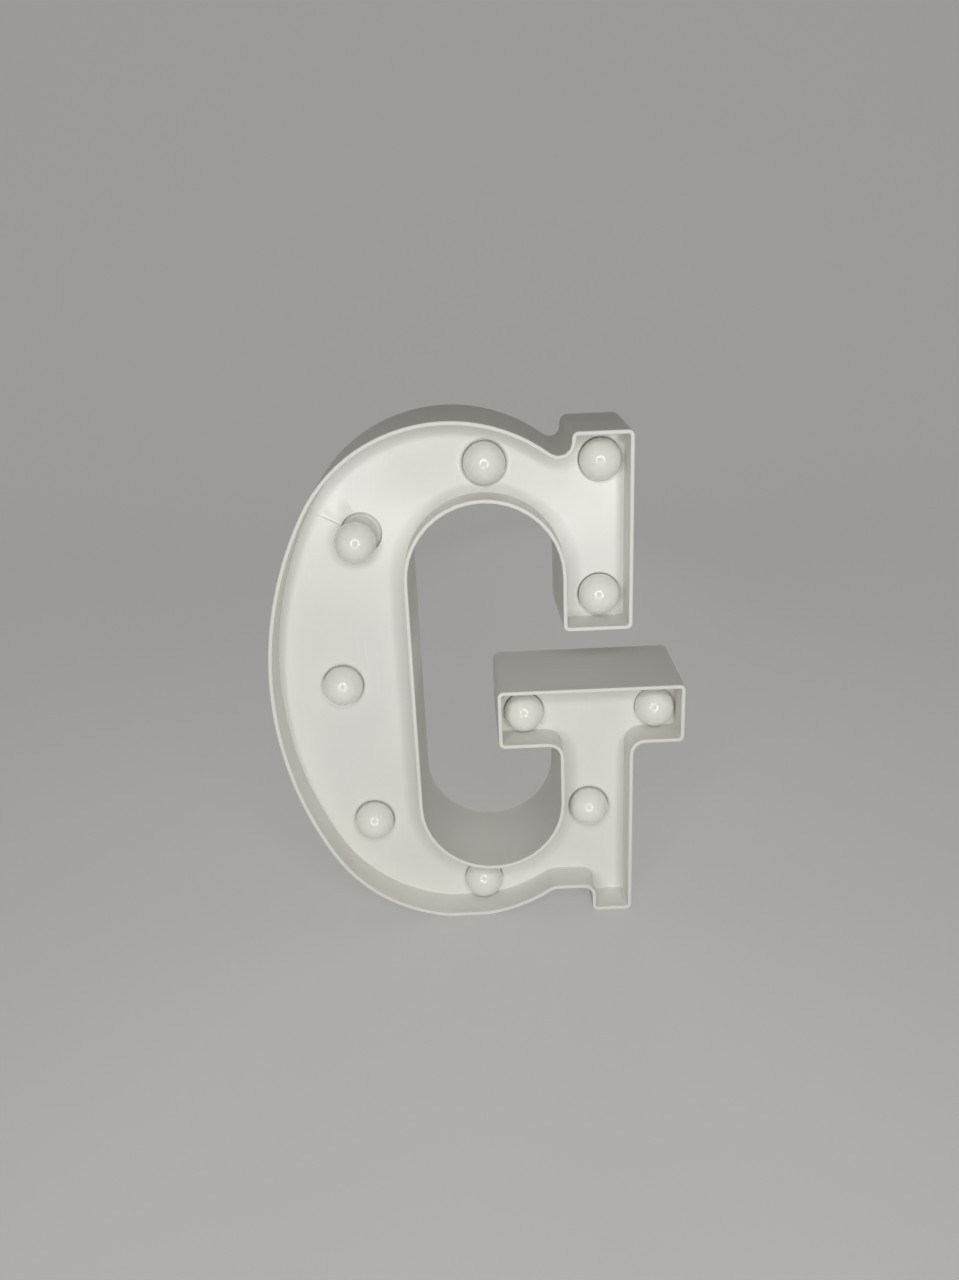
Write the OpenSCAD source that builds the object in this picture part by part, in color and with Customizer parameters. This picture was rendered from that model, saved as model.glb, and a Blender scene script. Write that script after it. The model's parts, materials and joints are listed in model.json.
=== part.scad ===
// Light-up letter G: a moulded shell with globe lamps on a recessed panel, a screwed back cover,
// a two-cell battery well behind a hinged door, and a slide switch.
// Letter places are [x, z]: x from the bowl's left edge, z up from the floor.
// Depths count from the front rim towards the back.

/* [Letter outline] */
// Height of the letter at its front rim
letter_h = 220; // [200:1:240]
// Width from the bowl's left edge to the crossbar's right end
letter_w = 172.5; // [165:0.5:185]
// Radius of the bowl's round top and bottom
bowl_r = 66; // [60:0.5:70]
// How much flatter the bowl's left side is than its ends: set-in of the end centres past their radius
bowl_set_in = 11.5; // [8:0.5:16]
// Height of the cut that gives the bowl a flat to stand on
bowl_flat = 0.6; // [0.3:0.1:1.5]
// Width of the left stroke, from the bowl's left edge to the counter
left_stroke = 60; // [54:0.5:64]
// Thickness of the stroke over the counter
top_stroke = 32; // [28:0.5:36]
// Thickness of the stroke under the counter
bottom_stroke = 25.5; // [24:0.5:29]
// Radius of the counter's round top
counter_top_r = 31; // [29:0.5:33]
// Radius of the counter's round bottom
counter_bottom_r = 30; // [28:0.5:32]
// Right edge of the arm and of its serif
arm_right = 150; // [147:0.5:156]
// Left edge of the arm's serif over the bowl
arm_shoulder = 126; // [123:0.5:130]
// Height of the arm's lower end
arm_end = 134; // [128:0.5:142]
// How far the arm's serif stays under the bowl's top
arm_drop = 6; // [3:0.5:9]
// Left end of the crossbar
bar_left = 94; // [88:0.5:98]
// Height of the crossbar's underside
bar_z = 82.5; // [76:0.5:88]
// Thickness of the crossbar
bar_h = 26; // [25:0.5:30]
// Right edge of the stem
stem_right = 151; // [146:0.5:156]
// Left edge of the spur's foot
foot_left = 133.5; // [128:0.5:137]
// Height of the notch between bowl and foot
notch_z = 12; // [9:0.5:15]
// Radius of the outer corners
corner_r = 2.5; // [2:0.25:4]
// Radius of the fillets under the crossbar
bar_fillet = 5; // [3:0.5:8]
// Radius of the fillet between notch and foot
notch_fillet = 4; // [3:0.5:6]
// Radius of the blend from the bowl into the notch
notch_blend = 6; // [4:0.5:9]
// Radius of the nook between bowl and serif
nook_r = 5; // [4:0.5:6]

/* [Shell] */
// Depth from the front rim to the back rim
depth = 45; // [43:0.5:55]
// Depth of the front tray, from the rim to the lamp panel
tray_depth = 15; // [13:0.5:17]
// Thickness of the lamp panel
panel_t = 2; // [1.5:0.1:3]
// Thickness of the side walls at the front rim
wall = 1.7; // [1.2:0.1:2]
// Growth of each side wall from the front rim to the back rim, for draft
draft = 0.75; // [0:0.05:1.5]

/* [Back cover] */
// Thickness of the back cover
cover_t = 2; // [1.6:0.1:2.4]
// How far the cover lies inside the back rim
cover_setback = 2; // [1.8:0.1:3]
// Gap between the cover's edge and the walls
cover_gap = 0.25; // [0.15:0.05:0.5]
// Diameter of the screw bosses
boss_d = 6; // [5.4:0.1:7]
// Diameter of the screws' shanks
screw_d = 2.4; // [2:0.1:3]
// Length of the screws under their heads
screw_l = 10; // [8:0.5:14]
// Diameter of the screws' heads
screw_head_d = 5; // [4.4:0.1:5.6]
// Thickness of the screws' heads
screw_head_t = 1.6; // [1.2:0.1:1.7]
// Diameter of the keyholes' entry holes
keyhole_d = 8; // [7:0.5:10]
// Width of the keyholes' slots
keyhole_slot = 4.4; // [3.5:0.1:5]
// Rise of the keyholes' slots over the entry holes
keyhole_rise = 8; // [6:0.5:10]
// Distance between the two keyholes
keyhole_span = 87; // [80:0.5:92]

/* [Lamps] */
// Diameter of the lamp globes
globe_d = 16.6; // [15:0.1:17]
// Reach of the globes' centres in front of the panel
globe_reach = 1.5; // [1:0.1:2.5]
// Wall of the globes
globe_wall = 1; // [0.8:0.1:1.4]
// Gap round a globe in its hole in the panel
lamp_gap = 0.2; // [0.15:0.05:0.4]
// How far the holder discs reach past their holes behind the panel
holder_lap = 0.8; // [0.5:0.1:0.9]
// Thickness of the holder discs
holder_t = 1.6; // [1.4:0.1:2]
// Length of the holders' plugs inside the globes
plug_l = 7; // [6:0.5:8]
// Height of the seats that centre the globes on their holders
seat_h = 1; // [0.5:0.1:2]
// Wall of the holders' plugs round the diodes
plug_wall = 0.8; // [0.6:0.05:1]
// Diameter of the light-emitting diodes
led_d = 5; // [4.8:0.1:5.2]
// Length of a diode's body, from its flange to its tip
led_l = 8.6; // [8:0.1:9]
// Length of the diodes' legs behind the holders
leg_l = 2; // [1.5:0.1:2.5]
// Distance between a diode's two legs
leg_pitch = 2.54; // [2.4:0.01:2.7]
// Direction in which the loose upper left globe has slipped, in degrees from +x
slip_turn = 230; // [180:1:360]
// How far the loose upper left globe stands out past the others
slip_out = 4.8; // [4:0.1:5]

/* [Battery well] */
// Diameter of a cell
cell_d = 14.5; // [14:0.1:14.5]
// Length of a cell over its nub
cell_l = 50.5; // [49:0.1:50.5]
// Diameter of a cell's nub
nub_d = 5.5; // [5:0.1:5.5]
// Height of a cell's nub
nub_h = 1.3; // [1:0.1:1.5]
// Clearance round the cells
cell_gap = 0.5; // [0.3:0.05:0.6]
// Wall and floor of the well
well_wall = 1.5; // [1.2:0.1:2]
// Length of a pressed contact spring
spring_l = 6.5; // [6:0.1:8]
// Wire of the contact springs
spring_wire = 0.8; // [0.6:0.05:0.9]
// Diameter of a contact spring at its plate
spring_base_d = 9; // [8:0.1:10]
// Diameter of a contact spring at its cell
spring_tip_d = 5.5; // [5:0.1:7]
// Turns of a contact spring
spring_turns = 3.5; // [3:0.25:4]
// Thickness of the contact plates
contact_t = 0.5; // [0.3:0.05:0.6]
// Gap between the battery door and its opening
door_gap = 0.3; // [0.2:0.05:0.5]
// How far the cover reaches over the two ends of the well
well_lap = 3; // [2.5:0.1:3.5]

/* [Switch] */
// Length of the switch body
switch_l = 13; // [12:0.1:15]
// Width of the switch body
switch_w = 6.4; // [6:0.1:8]
// Height of the switch body under the cover
switch_h = 5.5; // [5:0.1:7]
// Length of the knob
knob_l = 4; // [3:0.1:4.5]
// Width of the knob
knob_w = 3; // [2.5:0.1:3.5]
// Travel of the knob
knob_travel = 4; // [3:0.1:4]
// Clearance round the sliding pieces
slide_gap = 0.3; // [0.2:0.05:0.4]

/* [Wiring] */
// Diameter of the insulated wires
wire_d = 1.3; // [1:0.1:1.6]

/* [Hidden] */
$fn = 48;
// Play of the pushed fits, per side
fit = 0.05;
// Hair gap of soldered ends
solder_gap = 0.05;
// Play left where the loose globe hangs on its plug
rest_gap = 0.1;
// Room between a lamp hole and the side wall
lamp_room = 0.45;
// Room between a holder disc and the side wall
holder_room = 0.2;
// Room between a screw boss and the side wall
boss_room = 1.3;
// Room between the chain wires and the battery well
well_room = 0.3;
// Overshoot of cutting tools
cut = 1;
// Longest chord along the outline's round stretches
chord = 5;

// Outline: centres and edges that follow from the driving sizes
half_w = letter_w / 2;
half_d = depth / 2;
bowl_x = bowl_r + bowl_set_in;
bowl_top_z = letter_h - bowl_r;
bowl_low_z = bowl_r - bowl_flat;
bowl_mid_z = (bowl_top_z + bowl_low_z) / 2;
flat_a = acos(bowl_low_z / bowl_r);
bowl_rise = bowl_top_z - bowl_mid_z;
side_r = (bowl_x * bowl_x + bowl_rise * bowl_rise - bowl_r * bowl_r) / (2 * bowl_set_in);
side_a = atan2(bowl_rise, side_r - bowl_x);
counter_top_z = letter_h - top_stroke - counter_top_r;
counter_bottom_z = bottom_stroke + counter_bottom_r;
arm_left = left_stroke + 2 * counter_top_r;
arm_top = letter_h - arm_drop;
stem_left = left_stroke + 2 * counter_bottom_r;
bar_top = bar_z + bar_h;
blend_drop = bowl_low_z - notch_z + notch_blend;
blend_run = sqrt(pow(bowl_r + notch_blend, 2) - pow(blend_drop, 2));
blend_a = atan2(blend_run, blend_drop);
nook_x = arm_shoulder - nook_r;
nook_run = nook_x - bowl_x;
nook_rise = sqrt(pow(bowl_r + nook_r, 2) - pow(nook_run, 2));
nook_a = atan2(nook_rise, nook_run);

// Round stretches in order, anticlockwise from the front: centre x, centre z, radius, first and
// last angle. Angles that fall mark the hollow rounds.
ROUNDS = [
    [side_r, bowl_mid_z, side_r, 180 - side_a, 180 + side_a],
    [bowl_x, bowl_low_z, bowl_r, 180 + side_a, 270 - flat_a],
    [bowl_x, bowl_low_z, bowl_r, 270 + flat_a, 270 + blend_a],
    [bowl_x + blend_run, notch_z - notch_blend, notch_blend, 90 + blend_a, 90],
    [foot_left - notch_fillet, notch_z - notch_fillet, notch_fillet, 90, 0],
    [foot_left + corner_r, corner_r, corner_r, 180, 270],
    [stem_right - corner_r, corner_r, corner_r, 270, 360],
    [stem_right + bar_fillet, bar_z - bar_fillet, bar_fillet, 180, 90],
    [letter_w - corner_r, bar_z + corner_r, corner_r, 270, 360],
    [letter_w - corner_r, bar_top - corner_r, corner_r, 0, 90],
    [bar_left + corner_r, bar_top - corner_r, corner_r, 90, 180],
    [bar_left + corner_r, bar_z + corner_r, corner_r, 180, 270],
    [stem_left - bar_fillet, bar_z - bar_fillet, bar_fillet, 90, 0],
    [stem_left - counter_bottom_r, counter_bottom_z, counter_bottom_r, 0, -180],
    [left_stroke + counter_top_r, counter_top_z, counter_top_r, 180, 0],
    [arm_left + corner_r, arm_end + corner_r, corner_r, 180, 270],
    [arm_right - corner_r, arm_end + corner_r, corner_r, 270, 360],
    [arm_right - corner_r, arm_top - corner_r, corner_r, 0, 90],
    [arm_shoulder + corner_r, arm_top - corner_r, corner_r, 90, 180],
    [nook_x, bowl_top_z + nook_rise, nook_r, 0, nook_a - 180],
    [bowl_x, bowl_top_z, bowl_r, nook_a, 180 - side_a]
];

// Depths through the letter
panel_back = tray_depth + panel_t;
cover_out = depth - cover_setback;
cover_in = cover_out - cover_t;
globe_depth = tray_depth - globe_reach;
lamp_hole_d = globe_d + 2 * lamp_gap;
holder_d = lamp_hole_d + 2 * holder_lap;
plug_d = led_d + 2 * fit + 2 * plug_wall;
globe_open_r = sqrt(pow(globe_d / 2 - globe_wall, 2) - pow(globe_reach + panel_t, 2));
slip_r = globe_open_r - plug_d / 2 - rest_gap;
holder_back = panel_back + holder_t;
wire_depth = holder_back + leg_l + solder_gap + wire_d / 2;

// Wiring run through the strokes, from the arm's end to the crossbar: named points are lamps
bar_lamp_z = bar_z + bar_h / 2 - 2;
arm_lamp_x = (arm_left + arm_right) / 2 + 2;
RUN = [
    ["arm_end", arm_lamp_x, arm_end + 11.5],
    ["arm_top", arm_lamp_x + 0.5, arm_top - 13],
    ["", nook_x, arm_top - 13.5],
    ["", nook_x - 14, arm_top - 17],
    ["top", left_stroke + counter_top_r + 1.5, letter_h - top_stroke / 2 - 2.5],
    ["upper_left", left_stroke - 18.5, letter_h - 45],
    ["left", left_stroke / 2 - 1.5, bowl_mid_z - 0.5],
    ["lower_left", left_stroke - 23, counter_bottom_z - 12],
    ["bottom", left_stroke + counter_bottom_r - 5, bottom_stroke / 2 - 1.75],
    ["", stem_left - 8, notch_z + 8],
    ["stem", (stem_left + stem_right) / 2 - 2, counter_bottom_z - 9.5],
    ["", stem_left + 6, bar_z],
    ["", bar_left + 18, bar_z + 4.5],
    ["bar_left", bar_left + 11.5, bar_lamp_z],
    ["", bar_left + 18, bar_top - 6.5],
    ["", stem_left + 12, bar_lamp_z + 4],
    ["bar_right", letter_w - wall - lamp_hole_d / 2 - lamp_room, bar_lamp_z]
];
LAMPS = [for (i = [0 : len(RUN) - 1]) if (RUN[i][0] != "") i];
LOOSE_LAMP = "upper_left";
// Index of the lamp that the leads feed
FED_LAMP = search(["upper_left"], RUN)[0];
// Steps of the wiring run's curve between two of its points
run_steps = 4;
// Side of the run on which the positive conductor lies
plus_side = -1;

// Places on the back cover
SCREWS = [
    [left_stroke + 4, letter_h - 15],
    [arm_left - 5, letter_h - 31],
    [arm_left + 8, arm_end + 40],
    [stem_right - wall - boss_room - boss_d / 2, bar_z - 14],
    [foot_left + 7.5, notch_z + 6],
    [left_stroke - 10, bottom_stroke - 3.5],
    [left_stroke - 10, bowl_mid_z + 42],
    [left_stroke - 10, bowl_mid_z - 46]
];
keyhole_inset = 13;
keyhole_drop = 30;
keyhole_x = arm_right - keyhole_inset - keyhole_span;
keyhole_z = letter_h - keyhole_drop;
switch_inset = 28;
switch_rise = 42;
switch_at = [left_stroke - switch_inset, bowl_mid_z + switch_rise];

// Battery well. Where the letter is too shallow for the cells behind the chain wires, the well's rim
// and its door stand out of the cover.
well_inset = 26;
well_drop = 2;
well_w = 2 * cell_d + 3 * cell_gap;
well_l = cell_l + spring_l + 2 * contact_t;
well_x = left_stroke - well_inset;
well_z = bowl_mid_z - well_drop;
well_low = well_z - well_l / 2;
well_high = well_z + well_l / 2;
door_in = max(cover_in, wire_depth + wire_d / 2 + well_room + well_wall + 2 * cell_gap + cell_d);
door_out = door_in + cover_t;
well_rim = door_in > cover_in ? door_out : cover_in + cover_t / 2;
cell_depth = door_in - cell_gap - cell_d / 2;
well_floor = cell_depth - cell_d / 2 - cell_gap;
cell_x = (cell_d + cell_gap) / 2;
opening_low = well_low + well_lap;
opening_high = well_high - well_lap;
plate_w = 11;
plate_h = 11;
tab_w = 3;
tab_reach = 3;
tab_depth = well_floor + 2.5;
tab_tip_z = well_high + well_wall + tab_reach + 3 * solder_gap;

// Diodes
led_flange_d = led_d + 0.8;
led_flange_t = 1;
leg_t = 0.5;

// Switch
ear_l = 3.5;
ear_t = 0.6;
ear_screw_d = 1.9;
can_t = 0.5;
carriage_t = 1.5;
carriage_floor = cover_in - ear_t - slide_gap - carriage_t;
terminal_pitch = 3;
terminal_l = 4;
terminal_w = 1;
terminal_tip = cover_in - switch_h - terminal_l - solder_gap - wire_d / 2;

// Depth at which leads run clear behind the chain wires
lead_depth = wire_depth + wire_d + 2 * solder_gap;

// One round stretch of the outline, moved outwards by grow
function round_points(c, grow) =
    let (
        r = c[2] + (c[4] > c[3] ? grow : -grow),
        steps = max(4, ceil(abs(c[4] - c[3]) * PI / 180 * c[2] / chord))
    )
    [for (i = [0 : steps]) let (a = c[3] + (c[4] - c[3]) * i / steps) [c[0] + r * cos(a), c[1] + r * sin(a)]];

// The letter's outline, moved outwards by grow
function outline(grow) = [for (c = ROUNDS) each round_points(c, grow)];

// A letter place and a depth as a point of the model
function place(at, d) = [at[0] - half_w, d - half_d, at[1]];

function unit(v) = v / norm(v);

// Direction of a path at point i
function heading(path, i) = unit(path[min(i + 1, len(path) - 1)] - path[max(i - 1, 0)]);

// Side vectors carried along a path without twist
function carry(path, side, i = 0) =
    i == len(path) ? [] :
    let (t = heading(path, i), s = unit(side - (side * t) * t))
    concat([s], carry(path, s, i + 1));

// A smooth curve through points, with a number of steps between each two
function smooth(p, steps) = concat(
    [for (i = [0 : len(p) - 2], k = [0 : steps - 1])
        let (
            t = k / steps,
            a = p[max(i - 1, 0)],
            b = p[i],
            c = p[i + 1],
            d = p[min(i + 2, len(p) - 1)]
        )
        b + t / 2 * ((c - a) + t * ((2 * a - 5 * b + 4 * c - d) + t * (3 * b - a - 3 * c + d)))],
    [p[len(p) - 1]]);

// Place of lamp or waypoint i
function run_at(i) = [RUN[i][1], RUN[i][2]];

// Middle line of the wiring run, and its side direction at step k
run_line = smooth([for (i = [0 : len(RUN) - 1]) run_at(i)], run_steps);
function run_side(k) = let (t = heading(run_line, k)) [-t[1], t[0]];

// Place of one conductor at step k, and of one leg of lamp i: side is 1 or -1
function wire_at(k, side) = run_line[k] + side * leg_pitch / 2 * run_side(k);
function leg_at(i, side) = wire_at(i * run_steps, side);

// Contact spring: points of its coil, from its plate up to its cell
function coil(turns, l, base_r, tip_r) =
    let (rings = ceil(turns * 8))
    [for (k = [0 : rings])
        let (t = k / rings, a = 360 * turns * t, r = base_r + (tip_r - base_r) * t)
        [r * cos(a), r * sin(a), l * t]];
spring_path = coil(spring_turns, spring_l - spring_wire - 2 * fit,
    (spring_base_d - spring_wire) / 2, (spring_tip_d - spring_wire) / 2);

// Least gap of the coil to itself, over points at least half a turn apart
spring_gap = min([for (i = [0 : len(spring_path) - 5], j = [i + 4 : len(spring_path) - 1])
    norm(spring_path[i] - spring_path[j]) - spring_wire]);
echo(spring_gap = spring_gap);

// Centre of one mounting ear's hole on the switch: side is 1 or -1
function ear_at(side) = switch_at + [side * (switch_l + ear_l) / 2, 0];

// Place of switch terminal k: -1, 0 or 1
function terminal_at(k) = switch_at + [k * terminal_pitch, 0];

// A letter-plane shape drawn out between two depths
module slab(from, to) {
    translate(place([0, 0], to))
        rotate([90, 0, 0])
            linear_extrude(height = to - from)
                children();
}

// A turned profile or rod standing at a letter place, its axis pointing to the front from a depth
module facing(at, d) {
    translate(place(at, d))
        rotate([90, 0, 0])
            children();
}

// A rod between two depths
module rod(at, d, from, to) {
    facing(at, to)
        cylinder(h = to - from, d = d);
}

// A block given by letter-plane corners and two depths
module block(low, high, from, to) {
    translate(place(low, from))
        cube([high[0] - low[0], to - from, high[1] - low[1]]);
}

// A round tube swept along a path
module tube(path, d, sides) {
    n = len(path);
    t0 = heading(path, 0);
    first = abs(t0[2]) < 0.9 ? cross(t0, [0, 0, 1]) : cross(t0, [1, 0, 0]);
    u = carry(path, first);
    points = [for (i = [0 : n - 1], k = [0 : sides - 1])
        let (a = 360 * k / sides, v = cross(heading(path, i), u[i]))
        path[i] + d / 2 * (cos(a) * u[i] + sin(a) * v)];
    skin = [for (i = [0 : n - 2], k = [0 : sides - 1])
        let (a = i * sides + k, b = i * sides + (k + 1) % sides)
        each [[a, b + sides, b], [a, a + sides, b + sides]]];
    end = (n - 1) * sides;
    caps = [for (k = [1 : sides - 2]) each [[0, k, k + 1], [end, end + k + 1, end + k]]];
    polyhedron(points, concat(skin, caps));
}

// The letter's side wall: its outside grows towards the back and stays level underneath
module side_wall() {
    front = outline(0);
    back = outline(draft);
    inner = outline(-wall);
    n = len(front);
    points = concat(
        [for (p = front) place(p, 0)],
        [for (p = back) place(p + [0, draft], depth)],
        [for (p = inner) place(p, depth)],
        [for (p = inner) place(p, 0)]);
    faces = [for (i = [0 : n - 1], k = [0 : 3])
        let (j = (i + 1) % n, m = (k + 1) % 4)
        [k * n + i, k * n + j, m * n + j, m * n + i]];
    polyhedron(points, faces);
}

// Side wall, lamp panel and screw bosses in one moulding
module front_shell() {
    color("whitesmoke")
        difference() {
            union() {
                side_wall();
                slab(tray_depth, panel_back) polygon(outline(-wall / 2));
                for (s = SCREWS) rod(s, boss_d, panel_back - panel_t / 2, cover_in);
            }
            for (i = LAMPS) rod(run_at(i), lamp_hole_d, tray_depth - cut, panel_back + cut);
            for (s = SCREWS) rod(s, screw_d + 2 * fit, cover_out - screw_l - cut, cover_in + cut);
        }
}

module keyhole(x) {
    rod([x, keyhole_z], keyhole_d, cover_in - cut, cover_out + cut);
    rod([x, keyhole_z + keyhole_rise], keyhole_slot, cover_in - cut, cover_out + cut);
    block([x - keyhole_slot / 2, keyhole_z], [x + keyhole_slot / 2, keyhole_z + keyhole_rise],
        cover_in - cut, cover_out + cut);
}

// Slot through a well's end wall for a contact tab
module tab_slot(x, z) {
    block([x - tab_w / 2 - fit, z - cut], [x + tab_w / 2 + fit, z + well_wall + cut],
        tab_depth - fit, tab_depth + contact_t + fit);
}

module back_cover() {
    outer = [well_w / 2 + well_wall, well_l / 2 + well_wall];
    inner = [well_w / 2, well_l / 2];
    middle = [well_x, well_z];
    slot_l = knob_l + knob_travel + 2 * slide_gap;
    slot_w = knob_w + 2 * slide_gap;
    color("whitesmoke")
        difference() {
            union() {
                slab(cover_in, cover_out) polygon(outline(-wall - cover_gap));
                block(middle - outer, middle + outer, well_floor - well_wall, well_rim);
            }
            block(middle - inner, middle + inner, well_floor, door_in);
            block([well_x - well_w / 2, opening_low], [well_x + well_w / 2, opening_high],
                door_in - cut, door_out + cut);
            for (s = SCREWS) rod(s, screw_d + 2 * fit, cover_in - cut, cover_out + cut);
            for (x = [keyhole_x, keyhole_x + keyhole_span]) keyhole(x);
            for (side = [-1, 1]) tab_slot(well_x + side * cell_x, well_high);
            block(switch_at - [slot_l, slot_w] / 2, switch_at + [slot_l, slot_w] / 2,
                cover_in - cut, cover_out + cut);
            for (side = [-1, 1])
                rod(ear_at(side), ear_screw_d + 2 * fit, cover_in - cut, cover_out + cut);
        }
}

// A pan-head screw from the cover's outside, its cross recess cut in the head
module pan_screw(at, shank_d, shank_l, head_d, head_t) {
    recess = head_d * 0.6;
    difference() {
        union() {
            rod(at, shank_d, cover_out - shank_l, cover_out + head_t / 2);
            intersection() {
                rod(at, head_d, cover_out, cover_out + head_t);
                translate(place(at, cover_out + head_t - head_d)) sphere(d = 2 * head_d);
            }
        }
        for (turn = [0, 90])
            translate(place(at, cover_out + head_t))
                rotate([0, turn, 0])
                    cube([recess, head_t, head_d / 6], center = true);
    }
}

module cover_screws() {
    color("silver")
        for (s = SCREWS) pan_screw(s, screw_d, screw_l, screw_head_d, screw_head_t);
}

// Battery door: a flush plate with two corner tongues under the cover at its hinge end, a snap lug
// at its free end and grip ribs outside
module battery_door() {
    low = [well_x - well_w / 2 + door_gap, opening_low + door_gap];
    high = [well_x + well_w / 2 - door_gap, opening_high - door_gap];
    tongue_w = 2.2;
    tongue_t = 1.2;
    tongue_root = 1.5;
    tongue_reach = 2;
    lug_w = 5;
    lug_t = 1.2;
    lug_l = 2;
    lug_in = 0.2;
    rib_l = 14;
    rib_t = 0.8;
    rib_step = 2.5;
    color("whitesmoke")
        union() {
            block(low, high, door_in, door_out);
            for (x = [low[0], high[0] - tongue_w]) {
                block([x, high[1] - tongue_root], [x + tongue_w, high[1]],
                    door_in - door_gap - tongue_t, door_in + cover_t / 2);
                block([x, high[1] - tongue_root], [x + tongue_w, high[1] + tongue_reach],
                    door_in - door_gap - tongue_t, door_in - door_gap);
            }
            block([well_x - lug_w / 2, low[1] + lug_in], [well_x + lug_w / 2, low[1] + lug_in + lug_t],
                door_in - lug_l, door_in + cover_t / 2);
            for (i = [1 : 4])
                block([well_x - rib_l / 2, low[1] + i * rib_step],
                    [well_x + rib_l / 2, low[1] + i * rib_step + rib_t],
                    door_out - cover_t / 2, door_out + rib_t / 2);
        }
}

// Milky globe, hollow and cut open where it sits on its holder. The loose one hangs on its plug.
module globe(i) {
    loose = RUN[i][0] == LOOSE_LAMP;
    slip = loose ? slip_r * [cos(slip_turn), sin(slip_turn)] : [0, 0];
    color("ivory")
        facing(run_at(i) + slip, loose ? globe_depth - slip_out : globe_depth)
            difference() {
                sphere(d = globe_d);
                sphere(d = globe_d - 2 * globe_wall);
                translate([0, 0, -globe_reach - panel_t - globe_d])
                    cylinder(h = globe_d, d = globe_d + 2 * cut);
            }
}

// Holder disc behind the panel, trimmed at the side wall, with a seat for the globe's open edge, a plug
// inside the globe and a bore for the diode
module holder(i) {
    at = run_at(i);
    color("gainsboro")
        difference() {
            union() {
                intersection() {
                    rod(at, holder_d, panel_back, holder_back);
                    slab(panel_back - cut, holder_back + cut) polygon(outline(-wall - holder_room));
                }
                rod(at, 2 * (globe_open_r - fit), panel_back - seat_h, holder_back);
                rod(at, plug_d, panel_back - plug_l, holder_back);
            }
            rod(at, led_d + 2 * fit, panel_back - plug_l - cut, holder_back + cut);
            rod(at, led_flange_d + 2 * fit, holder_back - led_flange_t, holder_back + cut);
        }
}

// Diode with its flange, domed lens and two legs set across the wiring run
module led(i) {
    dome_r = led_d / 2;
    n = run_side(i * run_steps);
    color("khaki")
        facing(run_at(i), holder_back)
            union() {
                cylinder(h = led_flange_t, d = led_flange_d);
                cylinder(h = led_l - dome_r, d = led_d);
                translate([0, 0, led_l - dome_r]) sphere(r = dome_r);
                for (side = [-1, 1])
                    translate([side * leg_pitch / 2 * n[0], side * leg_pitch / 2 * n[1], (leg_t - leg_l) / 2])
                        cube([leg_t, leg_t, leg_l + leg_t], center = true);
            }
}

// A cell standing in the well: side picks the column, up turns its nub to the top
module cell(side, up) {
    base = up ? well_high - contact_t - cell_l : well_low + contact_t + cell_l;
    color("seagreen")
        translate(place([well_x + side * cell_x, base], cell_depth))
            rotate([up ? 0 : 180, 0, 0])
                union() {
                    cylinder(h = cell_l - nub_h, d = cell_d);
                    cylinder(h = cell_l, d = nub_d);
                }
}

// Contact plate against the well's upper end, with its tab through the wall
module tab_plate(side) {
    x = well_x + side * cell_x;
    color("silver")
        union() {
            block([x - plate_w / 2, well_high - contact_t], [x + plate_w / 2, well_high],
                cell_depth - plate_h / 2, cell_depth + plate_h / 2);
            block([x - tab_w / 2, well_high - contact_t / 2],
                [x + tab_w / 2, well_high + well_wall + tab_reach],
                tab_depth, tab_depth + contact_t);
        }
}

module bridge_plate() {
    reach = cell_x + plate_w / 2;
    color("silver")
        block([well_x - reach, well_low], [well_x + reach, well_low + contact_t],
            cell_depth - plate_h / 2, cell_depth + plate_h / 2);
}

// Contact spring on its plate: up springs press upwards on a cell's base
module contact_spring(side, up) {
    foot = up ? well_low + contact_t : well_high - contact_t;
    color("silver")
        translate(place([well_x + side * cell_x, foot], cell_depth))
            rotate([up ? 0 : 180, 0, 0])
                translate([0, 0, spring_wire / 2 + fit])
                    tube(spring_path, spring_wire, 6);
}

// Switch can with mounting ears under the cover, a channel for the carriage and a slot for the knob
module switch_body() {
    half = [switch_l, switch_w] / 2;
    room = half - [can_t, can_t];
    window = [knob_l + knob_travel, knob_w] / 2 + [slide_gap, slide_gap];
    color("silver")
        difference() {
            union() {
                block(switch_at - half, switch_at + half, cover_in - switch_h, cover_in);
                block(switch_at - half - [ear_l, 0], switch_at + half + [ear_l, 0],
                    cover_in - ear_t, cover_in);
            }
            block(switch_at - room, switch_at + room, carriage_floor - slide_gap, cover_in - ear_t);
            block(switch_at - window, switch_at + window, cover_in - ear_t - cut, cover_in + cut);
            for (side = [-1, 1])
                rod(ear_at(side), ear_screw_d + 2 * fit, cover_in - ear_t - cut, cover_in + cut);
        }
}

// Carriage and knob at the off end of their travel
module switch_slider() {
    carriage = [switch_l / 2 - can_t - slide_gap - knob_travel / 2, switch_w / 2 - can_t - slide_gap];
    knob = [knob_l, knob_w] / 2;
    knob_proud = 1.4;
    ridge_t = 0.5;
    off = switch_at - [knob_travel / 2, 0];
    color("dimgray")
        difference() {
            union() {
                block(off - carriage, off + carriage, carriage_floor, carriage_floor + carriage_t);
                block(off - knob, off + knob, carriage_floor, cover_out + knob_proud);
            }
            for (k = [-1, 0, 1])
                block(off + [(2 * k - 0.5) * ridge_t, -knob_w], off + [(2 * k + 0.5) * ridge_t, knob_w],
                    cover_out + knob_proud - ridge_t, cover_out + knob_proud + cut);
        }
}

// Three solder pins under the switch can
module switch_terminals() {
    half = [terminal_w, contact_t] / 2;
    color("silver")
        for (k = [-1, 0, 1])
            block(terminal_at(k) - half, terminal_at(k) + half,
                cover_in - switch_h - terminal_l, cover_in - switch_h);
}

module switch_screws() {
    head_d = 3.6;
    color("silver")
        for (side = [-1, 1]) pan_screw(ear_at(side), ear_screw_d, cover_t + ear_t + 2, head_d, screw_head_t);
}

// One conductor of the lamp chain, past the same leg of every diode
module chain_wire(side) {
    tube([for (k = [0 : len(run_line) - 1]) place(wire_at(k, side), wire_depth)], wire_d, 8);
}

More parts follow.
